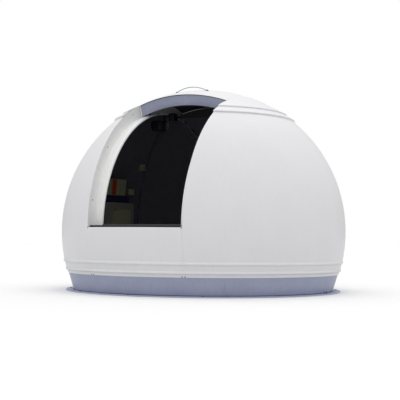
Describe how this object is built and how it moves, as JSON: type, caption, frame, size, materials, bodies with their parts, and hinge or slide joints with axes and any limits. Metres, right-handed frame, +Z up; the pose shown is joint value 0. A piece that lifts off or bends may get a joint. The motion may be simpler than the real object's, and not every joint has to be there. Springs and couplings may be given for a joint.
{
  "type": "observatory dome",
  "caption": "Fibreglass observatory dome that turns on its flanged base ring, with a rigid up-and-over shutter sliding in a recessed slot, and drive and control boxes inside.",
  "frame": {"origin": "on the dome's upright turning axis, level with the underside of the base flange, which is within 12 mm of the bottom centre of the whole object's box", "axes": "+Z up, the slot faces -Y, +X to the right of someone looking at the slot from outside"},
  "size_m": [3.5, 3.4775, 2.4895],
  "materials": {
    "white_gelcoat": "white gelcoat on glass-reinforced polyester, polished",
    "ring_gelcoat": "blue-grey gelcoat on glass-reinforced polyester, satin",
    "black_paint": "matt black paint",
    "dark_nylon": "dark grey moulded nylon",
    "seal_rubber": "black sealing rubber",
    "zinc_steel": "zinc-plated steel",
    "aluminium_plate": "mill-finish aluminium plate",
    "enclosure_plastic": "grey-green moulded enclosure",
    "cabinet_paint": "grey powder-coated cabinet",
    "tray_paint": "dark blue painted cable tray"
  },
  "bodies": {
    "base_ring": {"base_ring_left": "ring_gelcoat", "base_ring_front": "ring_gelcoat", "base_ring_rear": "ring_gelcoat", "base_ring_right": "ring_gelcoat", "support_roller_1": "zinc_steel", "support_roller_2": "zinc_steel", "support_roller_3": "zinc_steel", "support_roller_4": "zinc_steel", "support_roller_5": "zinc_steel", "support_roller_6": "zinc_steel"},
    "dome": {"front_panel": "white_gelcoat", "rear_panel": "white_gelcoat", "left_side_panel": "white_gelcoat", "right_side_panel": "white_gelcoat", "left_rear_panel": "white_gelcoat", "right_rear_panel": "white_gelcoat", "left_crown": "white_gelcoat", "right_crown": "white_gelcoat", "left_front_channel": "white_gelcoat", "right_front_channel": "white_gelcoat", "left_rear_channel": "white_gelcoat", "right_rear_channel": "white_gelcoat", "rear_recess_floor": "white_gelcoat", "opening_header": "black_paint", "left_seam_rib": "black_paint", "right_seam_rib": "black_paint", "sill_seal": "seal_rubber", "sill_rail": "dark_nylon", "control_box": "enclosure_plastic", "junction_box": "enclosure_plastic", "wall_socket": "enclosure_plastic", "equipment_cabinet": "cabinet_paint", "cable_tray": "tray_paint", "motor_bracket": "aluminium_plate", "shutter_motor": "black_paint", "drive_unit": "black_paint"},
    "shutter": {"shutter_skin": "white_gelcoat", "shutter_left_skirt": "white_gelcoat", "shutter_right_skirt": "white_gelcoat", "shutter_front_lip": "ring_gelcoat", "shutter_rear_plate": "white_gelcoat", "lifting_hoop": "zinc_steel", "left_front_guide_wheel": "dark_nylon", "right_front_guide_wheel": "dark_nylon", "left_rear_guide_wheel": "dark_nylon", "right_rear_guide_wheel": "dark_nylon"}
  },
  "joints": [
    {"name": "dome_rotation", "type": "hinge", "parent": "base_ring", "child": "dome", "pos_m": [0, 0, 0.232], "axis": [0, 0, 1], "continuous": true},
    {"name": "shutter_travel", "type": "hinge", "parent": "dome", "child": "shutter", "pos_m": [0, 0, 0.73], "axis": [-1, 0, 0], "range_deg": [-67.5, 22.6]}
  ]
}
